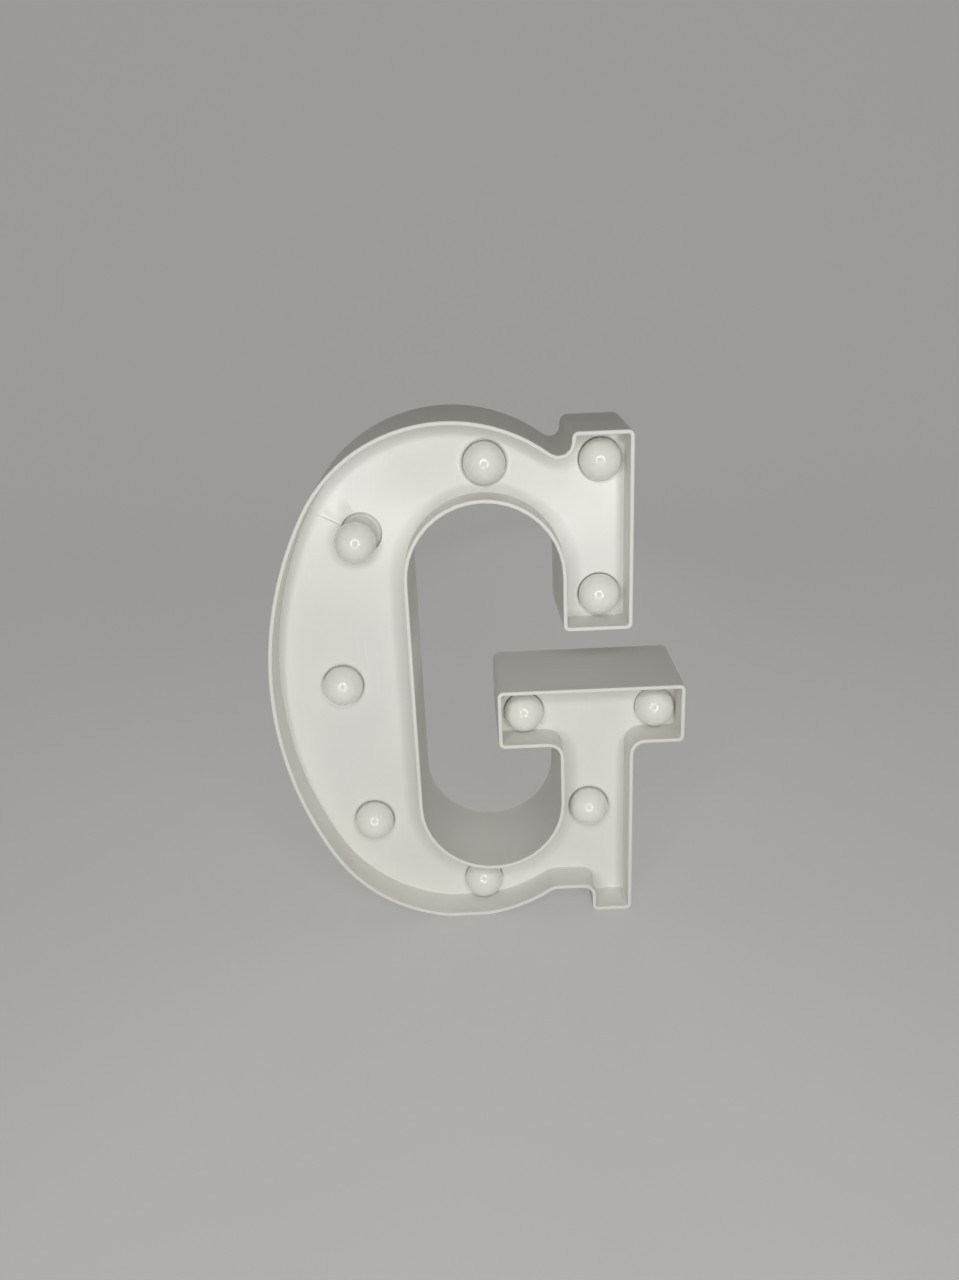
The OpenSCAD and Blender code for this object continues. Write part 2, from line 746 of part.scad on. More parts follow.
// A lead through hand-picked points: each is a letter place and a depth
module lead(points) {
    tube(smooth([for (p = points) place([p[0], p[1]], p[2])], 4), wire_d, 8);
}

// Lead from the switch's middle terminal to the fed lamp's positive leg
module feed_positive() {
    from = terminal_at(0);
    to = leg_at(FED_LAMP, plus_side);
    color("firebrick")
        lead([
            [from[0], from[1], terminal_tip],
            [from[0] + 1, from[1] + 4, terminal_tip - 1.5],
            [(from[0] + to[0]) / 2, (from[1] + to[1]) / 2 + 1, lead_depth + 1],
            [to[0], to[1], lead_depth]
        ]);
}

// Lead from the negative tab to the fed lamp's negative leg
module feed_negative() {
    from = [well_x + cell_x, tab_tip_z];
    to = leg_at(FED_LAMP, -plus_side);
    color("black")
        lead([
            [from[0], from[1], tab_depth + contact_t / 2],
            [from[0], from[1] + 4, tab_depth],
            [from[0] + 4, (from[1] + to[1]) / 2, lead_depth + 1],
            [to[0], to[1], lead_depth]
        ]);
}

// Lead from the positive tab to the switch's first terminal
module battery_lead() {
    from = [well_x - cell_x, tab_tip_z];
    to = terminal_at(-1);
    color("firebrick")
        lead([
            [from[0], from[1], tab_depth + contact_t / 2],
            [from[0], from[1] + 3, tab_depth + 0.5],
            [(from[0] + to[0]) / 2, to[1] - 3, terminal_tip - 1],
            [to[0], to[1], terminal_tip]
        ]);
}

front_shell();
back_cover();
cover_screws();
battery_door();
for (i = LAMPS) {
    globe(i);
    holder(i);
    led(i);
}
cell(-1, true);  // cell_left
cell(1, false);  // cell_right
tab_plate(-1);  // positive_plate
tab_plate(1);  // negative_plate
contact_spring(1, false);  // negative_spring
bridge_plate();
contact_spring(-1, true);  // bridge_spring
switch_body();
switch_slider();
switch_terminals();
switch_screws();
color("firebrick") chain_wire(plus_side);  // wire_positive
color("black") chain_wire(-plus_side);  // wire_negative
feed_positive();
feed_negative();
battery_lead();
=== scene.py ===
"""Light-up letter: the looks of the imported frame, with its camera, floor and lights.

Everything is in metres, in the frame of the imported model: x to the reader's right, y from the front
rim to the back, z up from the floor.
"""

import json
import math

import bpy
from mathutils import Euler, Matrix, Vector


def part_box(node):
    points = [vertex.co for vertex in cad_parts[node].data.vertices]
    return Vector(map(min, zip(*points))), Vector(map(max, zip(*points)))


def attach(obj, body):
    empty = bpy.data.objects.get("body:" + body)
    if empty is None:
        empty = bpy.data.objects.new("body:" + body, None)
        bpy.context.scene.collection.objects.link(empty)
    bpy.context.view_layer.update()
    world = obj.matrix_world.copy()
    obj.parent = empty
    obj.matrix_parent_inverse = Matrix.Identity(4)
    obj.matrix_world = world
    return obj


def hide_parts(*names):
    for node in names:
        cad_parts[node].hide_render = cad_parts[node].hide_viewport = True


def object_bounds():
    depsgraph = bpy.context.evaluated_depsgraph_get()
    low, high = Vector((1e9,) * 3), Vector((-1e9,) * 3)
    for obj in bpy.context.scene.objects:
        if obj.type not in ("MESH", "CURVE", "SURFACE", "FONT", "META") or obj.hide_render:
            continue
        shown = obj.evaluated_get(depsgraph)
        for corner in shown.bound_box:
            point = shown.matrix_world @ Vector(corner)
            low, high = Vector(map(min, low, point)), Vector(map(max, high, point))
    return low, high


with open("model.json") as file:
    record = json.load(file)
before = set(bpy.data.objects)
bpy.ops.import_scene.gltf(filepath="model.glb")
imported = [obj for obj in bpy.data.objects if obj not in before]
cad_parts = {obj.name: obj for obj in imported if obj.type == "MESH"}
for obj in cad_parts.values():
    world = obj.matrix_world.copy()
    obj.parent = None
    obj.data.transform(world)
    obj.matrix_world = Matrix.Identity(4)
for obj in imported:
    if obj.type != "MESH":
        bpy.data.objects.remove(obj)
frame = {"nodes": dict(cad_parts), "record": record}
cad_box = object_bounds()
nodes = frame["nodes"]
slot_of = {part["node"]: part["material_slot"] for part in frame["record"]["subparts"]}

MM = 0.001
LAMPS = ["arm_end", "arm_top", "top", "upper_left", "left", "lower_left", "bottom", "stem",
         "bar_left", "bar_right"]
LOOSE_LAMP = "upper_left"

# Depths of the shell in the frame
TRAY_DEPTH = 15 * MM
RIM_Y = cad_box[0][1]
BACK_Y = cad_box[1][1]
PANEL_Y = RIM_Y + TRAY_DEPTH

# Vertices nearer than this are one, and faces that meet at fewer degrees than this are one
SAME_PLACE = 1e-6
SAME_PLANE = 0.4


# Work on meshes, as by hand

def select_only(piece):
    """Makes one piece the only selected object, and the active one."""
    if bpy.context.object and bpy.context.object.mode != "OBJECT":
        bpy.ops.object.mode_set(mode="OBJECT")
    bpy.ops.object.select_all(action="DESELECT")
    piece.select_set(True)
    bpy.context.view_layer.objects.active = piece


def add_mesh(operator, **settings):
    """Adds a primitive mesh with one of Blender's operators."""
    bpy.ops.object.select_all(action="DESELECT")
    operator(**settings)
    return bpy.context.object


def start_edit(piece):
    """Opens a piece in edit mode with nothing selected."""
    select_only(piece)
    bpy.ops.object.mode_set(mode="EDIT")
    bpy.ops.mesh.select_mode(type="EDGE")
    bpy.ops.mesh.select_all(action="DESELECT")


def start_edit_all(piece):
    """Opens a piece in edit mode with everything selected."""
    start_edit(piece)
    bpy.ops.mesh.select_all(action="SELECT")


def end_edit():
    bpy.ops.object.mode_set(mode="OBJECT")


def end_edit_outwards():
    """Turns all faces outwards and leaves edit mode."""
    bpy.ops.mesh.select_all(action="SELECT")
    bpy.ops.mesh.normals_make_consistent(inside=False)
    end_edit()


def pick_edges(piece, test):
    """Selects the edges of a piece in edit mode that a test accepts."""
    end_edit()
    mesh = piece.data
    for part in (mesh.vertices, mesh.edges, mesh.polygons):
        part.foreach_set("select", [False] * len(part))
    for edge in mesh.edges:
        if test(edge):
            edge.select = True
    bpy.context.tool_settings.mesh_select_mode = (False, True, False)
    bpy.ops.object.mode_set(mode="EDIT")


def extrude(x, y, z):
    """Extrudes what is selected in edit mode by a step."""
    bpy.ops.mesh.extrude_region_move(TRANSFORM_OT_translate={"value": (x, y, z)})


def apply_modifier(piece, kind, **settings):
    """Adds a modifier with its settings to a piece, and applies it."""
    select_only(piece)
    modifier = piece.modifiers.new("work", kind)
    for key, value in settings.items():
        setattr(modifier, key, value)
    bpy.ops.object.modifier_apply(modifier=modifier.name)


def merge_close(piece, reach):
    """Merges the vertices that lie within a reach of each other."""
    start_edit_all(piece)
    bpy.ops.mesh.remove_doubles(threshold=reach)
    end_edit()


def fine_copy(node, name):
    """A merged and cleaned copy of a CAD node that stands for it."""
    piece = nodes[node].copy()
    piece.data = nodes[node].data.copy()
    piece.name = name
    piece.data.name = name
    piece.parent = None
    piece.matrix_world = Matrix.Identity(4)
    for key in list(piece.keys()):
        del piece[key]
    bpy.context.scene.collection.objects.link(piece)
    select_only(piece)
    bpy.ops.mesh.customdata_custom_splitnormals_clear()
    start_edit_all(piece)
    bpy.ops.mesh.remove_doubles(threshold=SAME_PLACE)
    bpy.ops.mesh.dissolve_limited(angle_limit=math.radians(SAME_PLANE))
    end_edit()
    return piece


def round_edges(piece, width, segments=2, sharp=35):
    """Rounds every edge sharper than an angle."""
    apply_modifier(piece, "BEVEL", width=width, segments=segments, limit_method="ANGLE",
                   angle_limit=math.radians(sharp))


def smooth_shade(piece, degrees=38):
    """Smooth shading with the normals ruled by the large faces, so that flats stay flat."""
    select_only(piece)
    bpy.ops.object.shade_smooth_by_angle(angle=math.radians(degrees))
    apply_modifier(piece, "WEIGHTED_NORMAL", keep_sharp=True, weight=90)


def dress(piece, *materials):
    piece.data.materials.clear()
    for material in materials:
        piece.data.materials.append(material)


def paint(piece, index, test):
    """Gives the faces whose middle a test accepts another of the piece's materials."""
    for face in piece.data.polygons:
        if test(face.center):
            face.material_index = index


def stand_for(piece, node, body="letter"):
    """Makes a piece take a CAD node's place on its body."""
    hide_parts(node)
    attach(piece, body)


# Materials: lengths in their nodes are metres, and noise scales are waves per metre

BLACK = (0, 0, 0)
WHITE = (1, 1, 1)


def new_tree(holder, output):
    """An empty node tree of a material or a world, and its output node."""
    holder.use_nodes = True
    tree = holder.node_tree
    tree.nodes.clear()
    return tree, tree.nodes.new(output)


def new_material(name):
    material = bpy.data.materials.new(name)
    tree, out = new_tree(material, "ShaderNodeOutputMaterial")
    shader = tree.nodes.new("ShaderNodeBsdfPrincipled")
    tree.links.new(shader.outputs["BSDF"], out.inputs["Surface"])
    return material, tree, shader


def set_inputs(node, values):
    """Sets inputs of a shader node by their names."""
    for key, value in values.items():
        node.inputs[key].default_value = value


def place_on(tree, scale=(1, 1, 1), turn=(0, 0, 0), move=(0, 0, 0)):
    """Object coordinates through a Mapping node."""
    where = tree.nodes.new("ShaderNodeTexCoord")
    mapping = tree.nodes.new("ShaderNodeMapping")
    turn = [math.radians(angle) for angle in turn]
    set_inputs(mapping, {"Scale": scale, "Rotation": turn, "Location": move})
    tree.links.new(where.outputs["Object"], mapping.inputs["Vector"])
    return mapping.outputs["Vector"]


def noise(tree, vector, scale, detail=4.0, rough=0.55):
    node = tree.nodes.new("ShaderNodeTexNoise")
    set_inputs(node, {"Scale": scale, "Detail": detail, "Roughness": rough})
    tree.links.new(vector, node.inputs["Vector"])
    return node.outputs["Fac"]


def ramp(tree, value, stops):
    node = tree.nodes.new("ShaderNodeValToRGB")
    elements = node.color_ramp.elements
    while len(elements) < len(stops):
        elements.new(0.5)
    for element, (at, colour) in zip(elements, stops):
        element.position = at
        element.color = (*colour, 1)
    tree.links.new(value, node.inputs["Fac"])
    return node.outputs["Color"]


def two_tone(tree, value, dark, light, low=0.35, high=0.65):
    """A colour that goes from dark to light with a noise."""
    return ramp(tree, value, [(low, dark), (high, light)])


def remap(tree, value, low, high, to_low, to_high):
    node = tree.nodes.new("ShaderNodeMapRange")
    set_inputs(node, {"From Min": low, "From Max": high, "To Min": to_low, "To Max": to_high})
    tree.links.new(value, node.inputs["Value"])
    return node.outputs["Result"]


def vary(tree, value, low, high):
    """Spreads a noise, which lies mostly between 0.3 and 0.7, over a range."""
    return remap(tree, value, 0.3, 0.7, low, high)


def mathop(tree, kind, a, b=0.0):
    node = tree.nodes.new("ShaderNodeMath")
    node.operation = kind
    for socket, value in zip(node.inputs, (a, b)):
        if hasattr(value, "is_linked"):
            tree.links.new(value, socket)
        else:
            socket.default_value = value
    return node.outputs["Value"]


def bump(tree, height, strength, distance, normal=None):
    node = tree.nodes.new("ShaderNodeBump")
    set_inputs(node, {"Strength": strength, "Distance": distance})
    tree.links.new(height, node.inputs["Height"])
    if normal is not None:
        tree.links.new(normal, node.inputs["Normal"])
    return node.outputs["Normal"]


def scratches(tree, turn, move, across, along):
    """Sparse hairlines in one direction of the letter's plane: 1 on a line, 0 elsewhere."""
    inwards = 60
    drawn = place_on(tree, scale=(across, inwards, along), turn=(0, turn, 0), move=move)
    lines = ramp(tree, noise(tree, drawn, scale=1.0, detail=1.0, rough=0.4),
                 [(0.0, BLACK), (0.665, BLACK), (0.69, WHITE), (0.715, BLACK)])
    patches = noise(tree, place_on(tree, move=move), scale=26, detail=2.0)
    patches = two_tone(tree, patches, BLACK, WHITE, low=0.52, high=0.64)
    return mathop(tree, "MULTIPLY", lines, patches)


def on_panel(tree):
    """1 on the front of the lamp panel, and 0 on all other faces."""
    near, far = 0.3 * MM, 1.2 * MM
    facing_front, turned_away = -0.97, -0.8
    where = tree.nodes.new("ShaderNodeTexCoord")
    place = tree.nodes.new("ShaderNodeSeparateXYZ")
    facing = tree.nodes.new("ShaderNodeSeparateXYZ")
    tree.links.new(where.outputs["Object"], place.inputs["Vector"])
    tree.links.new(where.outputs["Normal"], facing.inputs["Vector"])
    off = mathop(tree, "ABSOLUTE", mathop(tree, "SUBTRACT", place.outputs["Y"], PANEL_Y))
    return mathop(tree, "MULTIPLY", remap(tree, off, near, far, 1, 0),
                  remap(tree, facing.outputs["Y"], facing_front, turned_away, 1, 0))


def white_plastic():
    """White moulding with soft sink marks, matt but for the panel, which is glossy with hairlines."""
    yellowed, clean, cool = (0.80, 0.79, 0.75), (0.82, 0.82, 0.79), (0.795, 0.80, 0.785)
    panel_low, panel_high, matt_more, line_more = 0.19, 0.27, 0.24, 0.12
    material, tree, shader = new_material("white_moulding")
    link = tree.links.new
    here = place_on(tree)
    tone = noise(tree, here, scale=16, detail=3.0)
    tone = ramp(tree, tone, [(0.3, yellowed), (0.52, clean), (0.72, cool)])
    link(tone, shader.inputs["Base Color"])
    lines = mathop(tree, "MAXIMUM",
                   scratches(tree, turn=34, move=(0.3, 0, 0.1), across=900, along=9),
                   scratches(tree, turn=-62, move=(0.1, 0, 0.5), across=820, along=7))
    panel = on_panel(tree)
    lines = mathop(tree, "MULTIPLY", lines, panel)
    haze = vary(tree, noise(tree, here, scale=55, detail=5.0), panel_low, panel_high)
    haze = mathop(tree, "ADD", haze, remap(tree, panel, 0, 1, matt_more, 0))
    haze = mathop(tree, "ADD", haze, mathop(tree, "MULTIPLY", lines, line_more))
    link(haze, shader.inputs["Roughness"])
    sinks = noise(tree, here, scale=34, detail=1.0, rough=0.3)
    skin = bump(tree, sinks, strength=0.3, distance=1.2 * MM)
    grain = noise(tree, here, scale=1500, detail=2.0)
    skin = bump(tree, grain, strength=0.05, distance=0.1 * MM, normal=skin)
    drawn = noise(tree, place_on(tree, scale=(420, 14, 420)), scale=1.0, detail=2.0)
    skin = bump(tree, drawn, strength=0.05, distance=0.2 * MM, normal=skin)
    skin = bump(tree, lines, strength=0.15, distance=0.05 * MM, normal=skin)
    link(skin, shader.inputs["Normal"])
    set_inputs(shader, {"IOR": 1.53})
    return material


def milky_plastic():
    """Glossy milky globes, some more rubbed than others: light spreads under their wavy skin."""
    dark, light = (0.88, 0.872, 0.828), (0.895, 0.892, 0.858)
    polished, worn, skin_change = 0.05, 0.15, 0.02
    material, tree, shader = new_material("milky_globe")
    link = tree.links.new
    here = place_on(tree)
    tone = noise(tree, here, scale=70, detail=3.0)
    link(two_tone(tree, tone, dark, light), shader.inputs["Base Color"])
    shader.subsurface_method = "RANDOM_WALK"
    set_inputs(shader, {"Subsurface Weight": 0.6, "Subsurface Radius": (1.0, 0.95, 0.85),
                        "Subsurface Scale": 1.3 * MM, "IOR": 1.52})
    rubbed = noise(tree, place_on(tree, move=(0.31, 0, 0.12)), scale=22, detail=1.0)
    rubbed = remap(tree, rubbed, 0.36, 0.66, polished, worn)
    skin = vary(tree, noise(tree, here, scale=420, detail=3.0), -skin_change, skin_change)
    link(mathop(tree, "ADD", rubbed, skin), shader.inputs["Roughness"])
    waves = noise(tree, here, scale=210, detail=2.0)
    link(bump(tree, waves, strength=0.1, distance=0.3 * MM), shader.inputs["Normal"])
    return material


def plain_plastic(name, dark, light, rough, grain, depth):
    """Matt moulding with slight tone changes and a fine spark-eroded grain."""
    change = 0.06
    material, tree, shader = new_material(name)
    link = tree.links.new
    here = place_on(tree)
    tone = noise(tree, here, scale=90, detail=4.0)
    link(two_tone(tree, tone, dark, light), shader.inputs["Base Color"])
    haze = vary(tree, noise(tree, here, scale=300, detail=4.0), rough - change, rough + change)
    link(haze, shader.inputs["Roughness"])
    pits = noise(tree, here, scale=grain, detail=3.0)
    link(bump(tree, pits, strength=depth, distance=0.15 * MM), shader.inputs["Normal"])
    return material


def clear_epoxy():
    """Yellowish clear resin of the diodes."""
    dark, light = (0.86, 0.80, 0.52), (0.90, 0.86, 0.64)
    clear, cloudy = 0.06, 0.14
    material, tree, shader = new_material("diode_resin")
    link = tree.links.new
    here = place_on(tree)
    tone = noise(tree, here, scale=300, detail=3.0)
    link(two_tone(tree, tone, dark, light), shader.inputs["Base Color"])
    set_inputs(shader, {"Transmission Weight": 0.5, "IOR": 1.54})
    haze = vary(tree, noise(tree, here, scale=500, detail=3.0), clear, cloudy)
    link(haze, shader.inputs["Roughness"])
    return material


def plated_metal(name, dark, light, rough, streak):
    """Plated metal with drawn streaks and light tarnish."""
    smoother, rougher = 0.07, 0.1
    material, tree, shader = new_material(name)
    link = tree.links.new
    here = place_on(tree)
    along = place_on(tree, scale=streak)
    tarnish = noise(tree, here, scale=260, detail=5.0)
    tarnish = two_tone(tree, tarnish, dark, light, low=0.32, high=0.66)
    link(tarnish, shader.inputs["Base Color"])
    set_inputs(shader, {"Metallic": 1.0})
    haze = noise(tree, along, scale=1.0, detail=4.0)
    link(vary(tree, haze, rough - smoother, rough + rougher), shader.inputs["Roughness"])
    streaks = noise(tree, along, scale=1.0, detail=5.0)
    link(bump(tree, streaks, strength=0.12, distance=0.05 * MM), shader.inputs["Normal"])
    return material


white = white_plastic()
milky = milky_plastic()
steel = plated_metal("zinc_plate", (0.55, 0.56, 0.57), (0.70, 0.70, 0.69),
                     rough=0.3, streak=(900, 900, 900))
nickel = plated_metal("nickel_sheet", (0.62, 0.59, 0.53), (0.75, 0.72, 0.66),
                      rough=0.24, streak=(120, 900, 900))
resin = clear_epoxy()
# A lighter white for the lip's strip along the crack: a painted highlight where its lifted edge catches
# the light
crack_edge_highlight = plain_plastic("crack_edge_highlight", (0.90, 0.90, 0.87), (0.95, 0.95, 0.93),
                             rough=0.45, grain=1500, depth=0.1)
jacket = plain_plastic("cell_jacket", (0.035, 0.11, 0.085), (0.05, 0.15, 0.115),
                       rough=0.33, grain=700, depth=0.05)
jacket_band = plain_plastic("cell_jacket_band", (0.52, 0.50, 0.44), (0.60, 0.58, 0.52),
                            rough=0.33, grain=700, depth=0.05)
holder_white = plain_plastic("holder_moulding", (0.72, 0.71, 0.67), (0.77, 0.765, 0.73),
                             rough=0.5, grain=1200, depth=0.12)
knob_black = plain_plastic("knob_moulding", (0.022, 0.022, 0.024), (0.034, 0.034, 0.036),
                           rough=0.46, grain=1600, depth=0.25)
spring_wire = plated_metal("spring_wire", (0.58, 0.58, 0.57), (0.72, 0.71, 0.69),
                           rough=0.26, streak=(1500, 1500, 200))
wire_red = plain_plastic("red_insulation", (0.42, 0.018, 0.014), (0.52, 0.03, 0.022),
                         rough=0.42, grain=900, depth=0.15)
wire_black = plain_plastic("black_insulation", (0.016, 0.016, 0.017), (0.028, 0.028, 0.03),
                           rough=0.42, grain=900, depth=0.15)
FINISH = {
    "white_plastic": white,
    "milky_plastic": milky,
    "grey_plastic": holder_white,
    "black_plastic": knob_black,
    "led_epoxy": resin,
    "steel": steel,
    "spring_steel": spring_wire,
    "nickel": nickel,
    "cell_can": jacket,
    "red_insulation": wire_red,
    "black_insulation": wire_black,
}

# Each CAD node gets the finish of its slot
for name, node in nodes.items():
    for holder in node.material_slots:
        holder.material = FINISH[slot_of[name]]


# Globes: hollow balls, open behind, a little fuller than in the CAD, so that the gap round them is fine

GLOBE_FULLER = 0.15 * MM
GLOBE_WALL = 1.15 * MM


def ball_of(lamp):
    """Centre and radius of a lamp's globe, and how far behind its centre it is open."""
    low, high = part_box("globe_" + lamp)
    radius = (high.x - low.x) / 2
    centre = Vector(((low.x + high.x) / 2, low.y + radius, (low.z + high.z) / 2))
    return centre, radius, high.y - centre.y


def globe_pattern(radius, open_y):
    """A hollow ball round the origin, open at the back, with a rounded open edge."""
    globe = add_mesh(bpy.ops.mesh.primitive_uv_sphere_add, segments=64, ring_count=32,
                     radius=radius, rotation=(math.pi / 2, 0, 0))
    bpy.ops.object.transform_apply(location=False, rotation=True, scale=False)
    start_edit_all(globe)
    bpy.ops.mesh.bisect(plane_co=(0, open_y, 0), plane_no=(0, 1, 0), clear_outer=True)
    end_edit()
    merge_close(globe, reach=0.1 * MM)
    apply_modifier(globe, "SOLIDIFY", thickness=GLOBE_WALL, offset=-1)
    round_edges(globe, width=0.25 * MM, segments=3, sharp=60)
    merge_close(globe, reach=0.01 * MM)
    smooth_shade(globe, degrees=60)
    dress(globe, milky)
    return globe


def milky_globes():
    """All globes are copies of one pattern, which is as large as a seated globe."""
    radius, open_y = ball_of("left")[1:]
    pattern = globe_pattern(radius + GLOBE_FULLER, open_y)
    for lamp in LAMPS:
        globe = pattern.copy()
        globe.data = pattern.data.copy()
        globe.name = "milky_globe_" + lamp
        globe.data.transform(Matrix.Translation(ball_of(lamp)[0]))
        bpy.context.scene.collection.objects.link(globe)
        stand_for(globe, "globe_" + lamp)
    bpy.data.objects.remove(pattern)


milky_globes()


# Shell: rounded rim, filleted tray, softened lamp holes and a crack beside the loose globe

HOLE_GAP = 0.2 * MM
HOLE_R = ball_of(LOOSE_LAMP)[1] + HOLE_GAP
holder_low, holder_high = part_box("holder_" + LOOSE_LAMP)
LOOSE_HOLE = Vector(((holder_low.x + holder_high.x) / 2, PANEL_Y, (holder_low.z + holder_high.z) / 2))

# How wide the panel sinks round a lamp hole: less at the bare hole and where a wall is close
SINK_WIDE = 2.4 * MM
SINK_NARROW = {
    LOOSE_LAMP: 0.3 * MM,
    "bottom": 0.45 * MM,
    "bar_left": 0.9 * MM,
    "arm_end": 0.9 * MM,
    "arm_top": 0.9 * MM,
}
UNSUNK_LAMP = "bar_right"

# Direction of the crack from the loose lamp's hole, and its length
CRACK_TURN = math.radians(154)
CRACK_L = 10.6 * MM


def round_shell_edges(shell, depth, deeper, width, segments):
    """Rounds the edges of the flat faces at a depth: those whose other face lies deeper, or not."""
    level, flat_from = 0.02 * MM, 0.999
    mesh = shell.data
    sides = {}
    for face in mesh.polygons:
        for key in face.edge_keys:
            sides.setdefault(key, []).append(face)
    chosen = set()
    for key, faces in sides.items():
        if len(faces) != 2 or any(abs(mesh.vertices[v].co.y - depth) > level for v in key):
            continue
        flat = [abs(face.normal.y) > flat_from for face in faces]
        if flat[0] == flat[1]:
            continue
        other = faces[1] if flat[0] else faces[0]
        if (other.center.y > depth) == deeper:
            chosen.add(key)
    start_edit(shell)
    pick_edges(shell, lambda e: tuple(sorted(e.vertices)) in chosen)
    bpy.ops.mesh.bevel(offset=width, segments=segments, affect="EDGES", clamp_overlap=True)
    end_edit()


def cut_with(shell, cutter):
    apply_modifier(shell, "BOOLEAN", object=cutter, operation="DIFFERENCE", solver="EXACT")
    bpy.data.objects.remove(cutter)


def sunk_edge_cutter(hole, width):
    """A plug that sinks the panel softly, like a worn moulding edge, towards a lamp hole."""
    steps, steepest, depth = 8, 0.95, 0.75 * width
    over_hole, before_panel, straight = 0.02 * MM, 0.02 * MM, 0.016 * MM
    outer = HOLE_R - over_hole + steepest * width
    at = (hole.x, PANEL_Y - before_panel, hole.z)
    cutter = add_mesh(bpy.ops.mesh.primitive_circle_add, vertices=96, radius=outer, fill_type="NGON",
                      location=at, rotation=(math.pi / 2, 0, 0))
    bpy.ops.object.transform_apply(location=True, rotation=True, scale=False)
    start_edit_all(cutter)
    extrude(0, straight, 0)
    done, reach = straight - before_panel, outer
    for i in range(1, steps + 1):
        t = steepest * i / steps
        sunk = depth * (1 - math.sqrt(1 - t * t))
        extrude(0, sunk - done, 0)
        shrink = (outer - t * width) / reach
        middle = (hole.x, PANEL_Y + sunk, hole.z)
        bpy.ops.transform.resize(value=(shrink, 1, shrink), center_override=middle)
        done, reach = sunk, outer - t * width
    end_edit_outwards()
    return cutter


def crack_cutter():
    """A thin wedge from the loose lamp's hole to the left wall."""
    start, end = HOLE_R - 1 * MM, HOLE_R + CRACK_L
    start_half_w, end_half_w = 0.2 * MM, 0.04 * MM
    before_panel, depth = 1 * MM, 0.7 * MM
    cutter = add_mesh(bpy.ops.mesh.primitive_cube_add, size=1)
    along = Vector((math.cos(CRACK_TURN), 0, math.sin(CRACK_TURN)))
    across = Vector((-along.z, 0, along.x))
    for v in cutter.data.vertices:
        far, side, deep = v.co.x > 0, 1 if v.co.z > 0 else -1, v.co.y > 0
        at = LOOSE_HOLE + along * (end if far else start)
        at += across * side * (end_half_w if far else start_half_w)
        at.y = PANEL_Y + (depth if deep else -before_panel)
        v.co = at
    start_edit(cutter)
    end_edit_outwards()
    return cutter


def crack_lip():
    """The lifted flap over the crack: a sheet that rises out of the panel towards crack and hole.

    Its sizes are in mm and its angles in degrees.
    """
    lift, sunk, thick = 0.95, 0.05, 1.0
    clear_turn, spread, highlight_share = 1.2, 55, 0.1
    hole_clear, hole_more, far_more = 0.04, 0.5, 1.2
    lip = add_mesh(bpy.ops.mesh.primitive_grid_add, x_subdivisions=18, y_subdivisions=22, size=1)
    for v in lip.data.vertices:
        u, w = v.co.x + 0.5, v.co.y + 0.5
        turn = CRACK_TURN - math.radians(clear_turn + spread * w)
        near = HOLE_R + (hole_clear + hole_more * w) * MM
        far = HOLE_R + CRACK_L + far_more * w * MM
        r = near + (far - near) * u
        # Each falls softly from 1 to 0
        fall_u, fall_w = ((1 - t) ** 2 * (1 + 2 * t) for t in (u, w))
        rise = lift * fall_u * fall_w - sunk
        v.co = LOOSE_HOLE + Vector((r * math.cos(turn), -rise * MM, r * math.sin(turn)))
    start_edit_all(lip)
    extrude(0, thick * MM, 0)
    end_edit_outwards()
    # The lip's strip along the crack gets the lighter white: a painted highlight of its lifted edge
    dress(lip, white, crack_edge_highlight)
    highlight_from = CRACK_TURN - math.radians(clear_turn + highlight_share * spread)
    paint(lip, 1, lambda at: math.atan2(at.z - LOOSE_HOLE.z, at.x - LOOSE_HOLE.x) > highlight_from)
    return lip


def letter_shell():
    shell = fine_copy("front_shell", "letter_shell")
    round_shell_edges(shell, RIM_Y, deeper=True, width=0.5 * MM, segments=3)
    round_shell_edges(shell, PANEL_Y, deeper=False, width=0.3 * MM, segments=2)
    for lamp in LAMPS:
        hole = LOOSE_HOLE if lamp == LOOSE_LAMP else ball_of(lamp)[0]
        if lamp != UNSUNK_LAMP:
            cut_with(shell, sunk_edge_cutter(hole, SINK_NARROW.get(lamp, SINK_WIDE)))
    round_shell_edges(shell, BACK_Y, deeper=False, width=0.4 * MM, segments=2)
    cut_with(shell, crack_cutter())
    dress(shell, white)
    lip = crack_lip()
    select_only(shell)
    lip.select_set(True)
    bpy.ops.object.join()
    smooth_shade(shell)
    stand_for(shell, "front_shell")


letter_shell()


# Mouldings, screws and sheet metal with rounded edges

PLATE_ROUND = 0.3 * MM
CAN_ROUND = 0.15 * MM
SMALL_ROUND = 0.12 * MM
EAR_SCREW_ROUND = 0.1 * MM
SHEET_ROUND = 0.08 * MM


def rounded(node, name, width, body="letter"):
    """A copy of a CAD node with all its sharp edges rounded."""
    piece = fine_copy(node, name)
    round_edges(piece, width)
    smooth_shade(piece)
    dress(piece, FINISH[slot_of[node]])
    stand_for(piece, node, body)


rounded("back_cover", "letter_back", PLATE_ROUND)
rounded("battery_door", "door_plate", PLATE_ROUND, "battery_door")
rounded("switch_slider", "switch_knob", SMALL_ROUND, "switch_slider")
rounded("cover_screws", "letter_screws", SMALL_ROUND)
rounded("switch_screws", "switch_ear_screws", EAR_SCREW_ROUND)
rounded("switch_body", "switch_can", CAN_ROUND)
rounded("switch_terminals", "switch_legs", SHEET_ROUND)
rounded("positive_plate", "contact_positive", SHEET_ROUND)
rounded("negative_plate", "contact_negative", SHEET_ROUND)
rounded("bridge_plate", "contact_bridge", SHEET_ROUND)
for lamp in LAMPS:
    rounded("holder_" + lamp, "lamp_holder_" + lamp, SMALL_ROUND)


